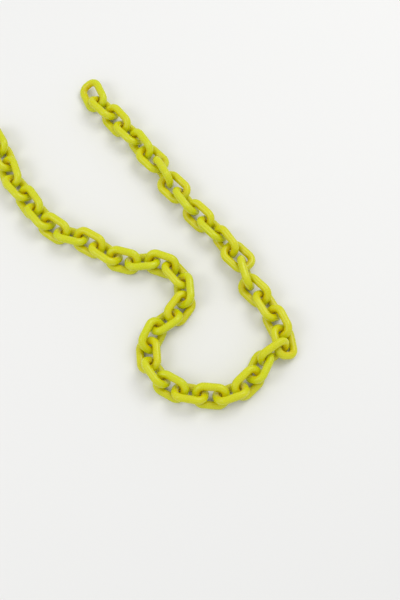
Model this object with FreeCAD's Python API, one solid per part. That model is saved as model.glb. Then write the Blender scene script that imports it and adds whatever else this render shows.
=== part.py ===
import FreeCAD, Part
import os
from math import cos, radians, sin

# A length of plastic barrier chain lying loose on a flat surface.
# Every link is one closed loop of round wire. The links hook into each other and each one
# leans to the left or to the right in turn. Lengths are in mm, angles in degrees.

# ---- the link ----
WIRE = 5.8          # thickness of the wire
EYE_LENGTH = 15.2   # clear length inside a link
EYE_WIDTH = 8.2     # clear width inside a link
BEND = 5.6          # radius of the wire's centre line at the four corners

# ---- how the links lie ----
GAP = 0.33          # clearance where one link's wire bears on the next
CARRIED = 28        # a link that leans less than this hangs between its two neighbours
CARRIED_DROP = 0.6  # and lies this much lower than the middle between them

# Heading of each link, from the free end of the long run to the free end of the short one:
# 0 points along +X and 90 along +Y.
HEADINGS = (
    # long run, nearly straight
    -65, -45, -50, -45, -55, -45, -60, -45, -55, -45, -45, -55, -45, -75, -45, -60, -65, -80,
    # the corner link doubles back on the run, then the chain rounds the front
    -145, -115, -135, -160, -185, -190, -210, -235, -265, -295, -325,
    # the chain swings back the other way
    -305, -265, -230,
    # short run, out to the left and away
    -200, -175, -195, -215, -210, -195, -215, -230, -235, -230, -250, -245, -240, -205,
)

# Lean of each link: 0 lies flat, 90 stands on its edge, plus leans up on the left side.
LEANS = (
    30, -45, 40, -40,
    # the chain turns over by a quarter in six links
    60, -15, 90, 15, -60, 40,
    # and again by a quarter
    -45, 65, -5, 105, 40, -40,
    # up to the corner link, which stands on its edge
    40, -30, -75,
    40, -40, 45, -40, 40, -40, 55, -30, 45, -40, 35, -50, 40, -45,
    40, -40, 40, -40, 40, -40, 40, -40, 40, -40, 40, -45, 30,
)
CORNER_LINK = 19    # hooked over the side wire of the link before it, not over its end
CORNER_SHIFT = 2.5  # how far past the middle of that side wire

# ---- worked out ----
RADIUS = WIRE / 2
HALF_LENGTH = (EYE_LENGTH + WIRE) / 2   # of the wire's centre line
HALF_WIDTH = (EYE_WIDTH + WIRE) / 2
SIDE = HALF_LENGTH - BEND               # half of each straight side
CROWN = HALF_WIDTH - BEND               # half of each straight end
UP = FreeCAD.Vector(0, 0, 1)


def link_solid():
    """One link, centred, long axis on X, flat in the XY plane."""
    solid = None
    for quarter in range(4):
        turn = FreeCAD.Rotation(UP, 90 * quarter)
        corner = FreeCAD.Vector(
            SIDE if quarter in (0, 3) else -SIDE,
            CROWN if quarter in (0, 1) else -CROWN,
            0,
        )
        bend = Part.makeTorus(BEND, RADIUS, FreeCAD.Vector(), UP, 0, 360, 90)
        bend.Placement = FreeCAD.Placement(corner, turn)
        run = 2 * (SIDE if quarter in (0, 2) else CROWN)
        start = corner + turn.multVec(FreeCAD.Vector(0, BEND, 0))
        rod = Part.makeCylinder(RADIUS, run, start, turn.multVec(FreeCAD.Vector(-1, 0, 0)))
        solid = bend if solid is None else solid.fuse(bend)
        solid = solid.fuse(rod)
    return solid.Solids[0]


def axes(heading, lean):
    """Unit vectors along a link and across it."""
    along = FreeCAD.Vector(cos(radians(heading)), sin(radians(heading)), 0)
    left = UP.cross(along)
    return along, left * cos(radians(lean)) + UP * sin(radians(lean))


def rest_height(lean):
    """Height of a leaning link's centre when its lower side lies on the surface."""
    return HALF_WIDTH * abs(sin(radians(lean))) + RADIUS


def link_height(index):
    """Height of a link's centre, on the surface or hung between its neighbours."""
    own = rest_height(LEANS[index])
    if own >= rest_height(CARRIED):
        return own
    beside = rest_height(LEANS[index - 1]) + rest_height(LEANS[index + 1])
    return max(own, beside / 2 - CARRIED_DROP)


def place_links():
    """Centre, long axis and cross axis of each link, hooked one into the next."""
    links = []
    for index, (heading, lean) in enumerate(zip(HEADINGS, LEANS)):
        along, across = axes(heading, lean)
        height = link_height(index)
        if not links:
            links.append((FreeCAD.Vector(0, 0, height), along, across))
            continue
        centre, last_along, last_across = links[-1]
        if index + 1 == CORNER_LINK:
            wire = last_along
            hold = centre - last_across * HALF_WIDTH + last_along * CORNER_SHIFT
        else:
            wire = last_across
            hold = centre + last_along * HALF_LENGTH
        # straight from one wire to the other, where they cross
        normal = wire.cross(across).normalize()
        if normal.dot(along) < 0:
            normal = -normal
        back = normal * -(WIRE + GAP)
        # slid along the crossing until the new link is at its own height
        climb = (UP - normal * normal.z) / (1 - normal.z ** 2)
        slide = climb * (height - hold.z - back.z)
        links.append((hold + back + slide + along * HALF_LENGTH, along, across))
    return links


def reach(along, across, direction):
    """How far a link reaches from its centre in a direction."""
    a = abs(along.dot(direction))
    b = abs(across.dot(direction))
    return SIDE * a + CROWN * b + BEND * (a * a + b * b) ** 0.5 + RADIUS


def centred(links):
    """The same links with the middle of the whole chain's footprint at the origin."""
    shift = FreeCAD.Vector()
    for direction in (FreeCAD.Vector(1, 0, 0), FreeCAD.Vector(0, 1, 0)):
        ends = [(c.dot(direction), reach(u, w, direction)) for c, u, w in links]
        low = min(place - half for place, half in ends)
        high = max(place + half for place, half in ends)
        shift -= direction * ((low + high) / 2)
    return [(c + shift, u, w) for c, u, w in links]


def placement(centre, along, across):
    """Puts the plain link where a link lies."""
    normal = along.cross(across)
    matrix = FreeCAD.Matrix(
        along.x, across.x, normal.x, centre.x,
        along.y, across.y, normal.y, centre.y,
        along.z, across.z, normal.z, centre.z,
        0, 0, 0, 1,
    )
    return FreeCAD.Placement(matrix)


os.makedirs("parts", exist_ok=True)
plain_link = link_solid()
for number, frame in enumerate(centred(place_links()), start=1):
    link = plain_link.copy()
    link.Placement = placement(*frame)
    link.exportStep(f"parts/link_{number:02d}.step")
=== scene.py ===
import math
import random

import bpy
import numpy as np
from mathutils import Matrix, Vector


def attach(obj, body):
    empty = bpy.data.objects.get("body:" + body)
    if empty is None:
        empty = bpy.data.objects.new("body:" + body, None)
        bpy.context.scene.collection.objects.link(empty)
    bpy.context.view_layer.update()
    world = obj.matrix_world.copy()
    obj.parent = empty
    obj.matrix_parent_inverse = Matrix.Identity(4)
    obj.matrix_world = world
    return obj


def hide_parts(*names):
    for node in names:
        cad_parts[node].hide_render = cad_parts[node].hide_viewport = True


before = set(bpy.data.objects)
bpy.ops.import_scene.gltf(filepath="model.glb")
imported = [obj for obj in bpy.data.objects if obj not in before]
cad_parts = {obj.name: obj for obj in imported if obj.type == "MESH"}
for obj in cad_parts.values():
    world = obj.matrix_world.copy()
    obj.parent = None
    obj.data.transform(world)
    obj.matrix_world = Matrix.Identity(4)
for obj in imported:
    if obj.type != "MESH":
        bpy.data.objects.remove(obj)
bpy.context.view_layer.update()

# ---- the link, in metres; its outside sizes are measured on the frame ----
BEND = 0.0056             # radius of the wire's centre line at the corners
STATIONS = 72             # steps along the wire
SKIN = 0.00002            # the plain wire is this much slimmer than its thickest place
LAND_ANGLE = 8            # half the mould's parting land, a flat at the outside and the inside
LAND_EDGE = 1.5           # where the land runs out into the round wire
GATE_RADIUS = 0.0009      # where the plastic was let into the mould, on one long side
GATE_DEPTH = 0.0001
GATE_RIM = 0.00015
GATE_RINGS = (0, 0.35, 0.7, 0.9, 1.05, 1.2)  # stations across the gate mark, in its radius
STUB_SHARE = 0.4          # the stub in the gate mark, as a share of the mark's radius
STUB_HEIGHT = 0.9         # and of its depth
WANDER = 0.00003          # unevenness of the wire's thickness
FLOW_STRETCH = 0.05       # flow lines are this much finer across the wire than along it
PAINTED_SHADE_FROM = 0.3        # the wire's inner side, where painted shade deepens the colour: cosine round the wire
ENDS_FROM = 0.4           # and most of all at the link's ends: cosine from its long axis
SIDES_PAINTED_SHADE = 0.45      # what the long sides have of that painted shade
SEED = 7

# angles round the wire, closer together at the edges of the parting land
QUARTER_ANGLES = (0, 4, 7, 8, 8.8, 9.5, 13, 22, 33, 44, 56, 68, 79)

# ---- the plastic's colours ----
LEMON = (0.57, 0.61, 0.001, 1)
WARM = (0.61, 0.60, 0.001, 1)
PALE = (0.65, 0.68, 0.008, 1)
# painted shade: the ochre laid inside the eyes
SHADE_OCHRE = (0.70, 0.54, 0.001, 1)

# ---- the camera ----
ELEVATION = 70
DISTANCE = 0.735
LENS = 90
SENSOR = 36
AIM = Vector((0.0554, -0.0494, 0))

FLOOR_SIZE = 6.0


# ---------------------------------------------------------------- places from the frame

def surface_axes(node):
    """Centre and principal axes of a link: along it, across it and square to it."""
    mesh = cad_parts[node].data
    mesh.calc_loop_triangles()
    points = np.array([v.co for v in mesh.vertices])
    corners = points[np.array([t.vertices[:] for t in mesh.loop_triangles])]
    sides = np.cross(corners[:, 1] - corners[:, 0], corners[:, 2] - corners[:, 0])
    areas = np.linalg.norm(sides, axis=1)
    areas /= areas.sum()
    centre = (corners.mean(axis=1) * areas[:, None]).sum(axis=0)
    spread = np.zeros((3, 3))
    for k in range(3):
        halfway = (corners[:, k] + corners[:, (k + 1) % 3]) / 2 - centre
        spread += np.einsum("n,ni,nj->ij", areas / 3, halfway, halfway)
    _, axes = np.linalg.eigh(spread)
    along = axes[:, 2]
    across = axes[:, 1]
    return centre, along, across, np.cross(along, across)


def outside_sizes(node):
    """Length, width and thickness of a link."""
    centre, *axes = surface_axes(node)
    points = np.array([v.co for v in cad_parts[node].data.vertices]) - centre
    return [float(np.ptp(points @ axis)) for axis in axes]


LENGTH, WIDTH, WIRE = outside_sizes("link_01")
RADIUS = WIRE / 2 - SKIN
SIDE = (LENGTH - WIRE) / 2 - BEND
CROWN = (WIDTH - WIRE) / 2 - BEND
ARC = BEND * math.pi / 2
QUARTER = SIDE + ARC + CROWN


# ---------------------------------------------------------------- the moulded link

def quarter_point(travel):
    """Point and outward direction on the first quarter, from mid side to mid end."""
    if travel < SIDE:
        return (travel, CROWN + BEND), (0, 1)
    if travel < SIDE + ARC:
        angle = math.pi / 2 - (travel - SIDE) / BEND
        out = (math.cos(angle), math.sin(angle))
        return (SIDE + BEND * out[0], CROWN + BEND * out[1]), out
    return (SIDE + BEND, QUARTER - travel), (1, 0)


def wire_point(travel):
    """Point and outward direction of the wire's centre line, all the way round."""
    quarter, rest = divmod(travel % (4 * QUARTER), QUARTER)
    if quarter in (1, 3):
        rest = QUARTER - rest
    point, out = quarter_point(rest)
    flip = np.array((1 if quarter < 2 else -1, 1 if quarter in (0, 3) else -1))
    return np.array(point) * flip, np.array(out) * flip


def station_travels():
    """Even steps along the wire, with closer ones across the gate mark."""
    even = [4 * QUARTER * k / STATIONS for k in range(STATIONS)]
    reach = (GATE_RADIUS + GATE_RIM) * GATE_RINGS[-1]
    away = [t for t in even if reach < t < 4 * QUARTER - reach]
    gate = [GATE_RADIUS * r for r in GATE_RINGS] + [-GATE_RADIUS * r for r in GATE_RINGS[1:]]
    return sorted(away + [t % (4 * QUARTER) for t in gate])


def ring_angles():
    quarter = list(QUARTER_ANGLES)
    half = quarter + [90] + [180 - a for a in reversed(quarter[1:])]
    return [math.radians(a) for a in half + [a + 180 for a in half]]


TRAVELS = station_travels()
ANGLES = ring_angles()


def land(angle):
    """Height of the parting land: it follows the link's own plane, outside and inside."""
    off = abs(math.remainder(angle, math.pi))
    flat = math.radians(LAND_ANGLE)
    edge = math.radians(LAND_EDGE)
    if off > flat + edge:
        return 0.0
    rise = RADIUS / math.cos(min(off, flat)) - RADIUS
    return rise * min(1.0, (flat + edge - off) / edge)


def gate(travel, angle):
    """Shallow round dish with a rim, and the stub left in its middle."""
    step = math.remainder(travel, 4 * QUARTER)
    off = math.hypot(step, RADIUS * math.remainder(angle, 2 * math.pi))
    if off > GATE_RADIUS + GATE_RIM:
        return None
    if off > GATE_RADIUS:
        return SKIN * (1 - (off - GATE_RADIUS) / GATE_RIM)
    stub = max(0.0, 1 - off / (GATE_RADIUS * STUB_SHARE))
    return -GATE_DEPTH * (1 - STUB_HEIGHT * stub)


def link_mesh(name, dice):
    """One moulded link in its own axes, with small unevenness of its own."""
    waves = [(n, dice.uniform(0, 2 * math.pi), dice.uniform(0.3, 1) / n) for n in (1, 2, 3, 5)]
    most = sum(size for _, _, size in waves)
    offset = dice.uniform(0, 1)
    points = []
    painted_shade = []
    flow = []
    for travel in TRAVELS:
        point, out = wire_point(travel)
        turn = travel / (4 * QUARTER) * 2 * math.pi
        wander = sum(size * math.sin(n * turn + start) for n, start, size in waves) / most
        radius = RADIUS + WANDER * (wander - 1) / 2
        half_way = abs(math.remainder(travel, 4 * QUARTER))
        for angle in ANGLES:
            mark = gate(travel, angle)
            height = land(angle) if mark is None else mark
            reach = radius + height
            flat = point + out * reach * math.cos(angle)
            points.append((flat[0], flat[1], reach * math.sin(angle)))
            # painted shade: a mask for a deeper ochre on the wire's inner side, strongest at the
            # link's ends
            inward = max(0.0, PAINTED_SHADE_FROM - math.cos(angle)) / (PAINTED_SHADE_FROM + 1)
            at_end = max(0.0, abs(out[0]) - ENDS_FROM) / (1 - ENDS_FROM)
            painted_shade.append(inward * (SIDES_PAINTED_SHADE + (1 - SIDES_PAINTED_SHADE) * at_end))
            flow.append((
                RADIUS * math.cos(angle) + offset,
                RADIUS * math.sin(angle),
                half_way * FLOW_STRETCH,
            ))
    count = len(ANGLES)
    faces = []
    for a in range(len(TRAVELS)):
        b = (a + 1) % len(TRAVELS)
        for k in range(count):
            m = (k + 1) % count
            faces.append((a * count + k, a * count + m, b * count + m, b * count + k))
    mesh = bpy.data.meshes.new(name)
    mesh.from_pydata(points, [], faces)
    mesh.shade_smooth()
    mesh.attributes.new("painted_shade", "FLOAT", "POINT").data.foreach_set("value", painted_shade)
    flow_lines = mesh.attributes.new("flow", "FLOAT_VECTOR", "POINT")
    flow_lines.data.foreach_set("vector", np.array(flow, np.float32).ravel())
    return mesh


def place_link(node, material, dice):
    """A moulded link where the CAD link lies."""
    centre, along, across, square = surface_axes(node)
    mesh = link_mesh("moulded_" + node, dice)
    # which end and which face carry the gate mark is chance
    flip_end = dice.choice((1, -1))
    flip_face = dice.choice((1, -1))
    axes = np.stack((along * flip_end, across * flip_face, square * flip_end * flip_face))
    points = np.array([v.co for v in mesh.vertices]) @ axes + centre
    mesh.vertices.foreach_set("co", points.ravel())
    mesh.update()
    tone = mesh.attributes.new("tone", "FLOAT", "POINT")
    tone.data.foreach_set("value", [dice.random()] * len(mesh.vertices))
    mesh.materials.append(material)
    piece = bpy.data.objects.new("moulded_" + node, mesh)
    bpy.context.scene.collection.objects.link(piece)
    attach(piece, node)
    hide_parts(node)
    return piece


# ---------------------------------------------------------------- material

def plastic():
    """Lemon-yellow moulded plastic: satin, streaked where it flowed, with the pale streaks partly
    painted highlight, and painted shade deepening the colour inside the eyes.
    """
    material = bpy.data.materials.new("yellow_plastic")
    material.use_nodes = True
    tree = material.node_tree
    nodes, links = tree.nodes, tree.links
    shader = nodes["Principled BSDF"]
    place = nodes.new("ShaderNodeTexCoord").outputs["Object"]

    def attribute(name, output="Fac"):
        node = nodes.new("ShaderNodeAttribute")
        node.attribute_name = name
        return node.outputs[output]

    def noise(where, scale, detail=2.0, rough=0.5):
        node = nodes.new("ShaderNodeTexNoise")
        node.inputs["Scale"].default_value = scale
        node.inputs["Detail"].default_value = detail
        node.inputs["Roughness"].default_value = rough
        links.new(where, node.inputs["Vector"])
        return node.outputs["Fac"]

    def remap(value, low, high, to_low, to_high):
        node = nodes.new("ShaderNodeMapRange")
        node.inputs["From Min"].default_value = low
        node.inputs["From Max"].default_value = high
        node.inputs["To Min"].default_value = to_low
        node.inputs["To Max"].default_value = to_high
        links.new(value, node.inputs["Value"])
        return node.outputs["Result"]

    def tint(factor, below, colour):
        """Lays a plain colour over what is below it."""
        node = nodes.new("ShaderNodeMix")
        node.data_type = "RGBA"
        links.new(factor, node.inputs[0])
        if isinstance(below, tuple):
            node.inputs[6].default_value = below
        else:
            links.new(below, node.inputs[6])
        node.inputs[7].default_value = colour
        return node.outputs[2]

    def bump(height, strength, distance, below=None):
        node = nodes.new("ShaderNodeBump")
        node.inputs["Strength"].default_value = strength
        node.inputs["Distance"].default_value = distance
        links.new(height, node.inputs["Height"])
        if below is not None:
            links.new(below, node.inputs["Normal"])
        return node.outputs["Normal"]

    # flow lines: the same streaks give a relief in the bump and painted highlight streaks in the
    # colour
    flow_and_highlight_streaks = noise(attribute("flow", "Vector"), 1500, 3, 0.6)
    colour = tint(attribute("tone"), LEMON, WARM)
    colour = tint(remap(noise(place, 160, 4), 0.45, 0.7, 0, 0.3), colour, PALE)
    # painted highlight: pale streaks along the wire
    colour = tint(remap(flow_and_highlight_streaks, 0.5, 0.75, 0, 0.35), colour, PALE)
    # painted shade: ochre laid over the wire's inner side and the link's ends
    colour = tint(remap(attribute("painted_shade"), 0, 1, 0, 0.9), colour, SHADE_OCHRE)
    links.new(colour, shader.inputs["Base Color"])

    links.new(remap(noise(place, 900, 5, 0.65), 0.35, 0.7, 0.2, 0.34), shader.inputs["Roughness"])
    grain = bump(noise(place, 2600, 3, 0.6), 0.09, 0.0001)
    flowed = bump(flow_and_highlight_streaks, 0.11, 0.0001, grain)
    dented = bump(noise(place, 300, 2, 0.4), 0.2, 0.0003, flowed)
    links.new(dented, shader.inputs["Normal"])

    shader.inputs["IOR"].default_value = 1.5
    shader.inputs["Specular IOR Level"].default_value = 0.4
    shader.inputs["Subsurface Weight"].default_value = 0.4
    shader.inputs["Subsurface Radius"].default_value = (1.0, 0.85, 0.1)
    shader.inputs["Subsurface Scale"].default_value = 0.002
    return material


# ---------------------------------------------------------------- floor, light, camera

def floor_material():
    material = bpy.data.materials.new("pale_floor")
    material.use_nodes = True
    shader = material.node_tree.nodes["Principled BSDF"]
    shader.inputs["Base Color"].default_value = (0.80, 0.80, 0.79, 1)
    shader.inputs["Roughness"].default_value = 0.9
    shader.inputs["Specular IOR Level"].default_value = 0.2
    return material


def build_floor():
    half = FLOOR_SIZE / 2
    mesh = bpy.data.meshes.new("floor")
    corners = [(-half, -half, 0), (half, -half, 0), (half, half, 0), (-half, half, 0)]
    mesh.from_pydata(corners, [], [(0, 1, 2, 3)])
    mesh.materials.append(floor_material())
    floor = bpy.data.objects.new("floor", mesh)
    bpy.context.scene.collection.objects.link(floor)


def area_light(name, azimuth, elevation, distance, size, power):
    """A soft square light that faces the chain."""
    light = bpy.data.lights.new(name, "AREA")
    light.size = size
    light.energy = power
    lamp = bpy.data.objects.new(name, light)
    turn, rise = math.radians(azimuth), math.radians(elevation)
    away = Vector((
        math.cos(rise) * math.cos(turn),
        math.cos(rise) * math.sin(turn),
        math.sin(rise),
    ))
    lamp.location = away * distance
    lamp.rotation_euler = away.to_track_quat("Z", "Y").to_euler()
    bpy.context.scene.collection.objects.link(lamp)


def build_light():
    area_light("right", azimuth=40, elevation=55, distance=1.2, size=0.6, power=4.2)
    area_light("left", azimuth=200, elevation=48, distance=1.2, size=0.5, power=2.4)
    world = bpy.data.worlds.new("studio")
    world.use_nodes = True
    sky = world.node_tree.nodes["Background"]
    sky.inputs["Color"].default_value = (1, 1, 1, 1)
    sky.inputs["Strength"].default_value = 0.78
    bpy.context.scene.world = world
    bpy.context.scene.view_settings.view_transform = "Standard"


def build_camera():
    camera = bpy.data.cameras.new("camera")
    camera.lens = LENS
    camera.sensor_width = SENSOR
    camera.sensor_fit = "HORIZONTAL"
    camera.clip_start = 0.01
    holder = bpy.data.objects.new("camera", camera)
    rise = math.radians(ELEVATION)
    back = Vector((0, -math.cos(rise), math.sin(rise)))
    holder.location = AIM + back * DISTANCE
    holder.rotation_euler = (math.pi / 2 - rise, 0, 0)
    bpy.context.scene.collection.objects.link(holder)
    bpy.context.scene.camera = holder


# ---------------------------------------------------------------- the scene

build_floor()
build_light()
build_camera()
yellow = plastic()
chance = random.Random(SEED)
for link in sorted(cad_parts):
    place_link(link, yellow, chance)
